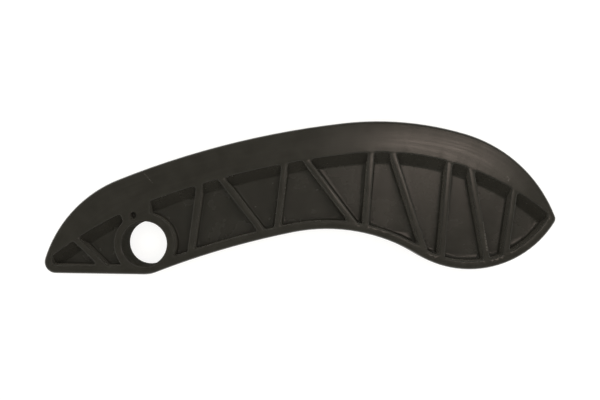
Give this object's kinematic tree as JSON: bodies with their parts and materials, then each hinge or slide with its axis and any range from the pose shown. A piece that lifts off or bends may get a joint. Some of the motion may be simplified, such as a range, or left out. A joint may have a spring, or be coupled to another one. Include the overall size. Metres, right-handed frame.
{
  "type": "timing chain guide rail",
  "caption": "Curved moulded guide rail for an engine timing chain, with a pivot bore at the tail, a thick running shoe and a web stiffened by truss ribs.",
  "frame": {"origin": "pivot axis on the back face, where the rail lies", "axes": "+X along the rail from pivot to tip, +Y towards the chain, +Z along the pivot axis out of the front face"},
  "size_m": [0.1596, 0.0491, 0.015],
  "materials": {
    "moulded_nylon": "satin as-moulded, near black"
  },
  "bodies": {
    "root": {"guide_rail": "moulded_nylon"}
  },
  "joints": []
}
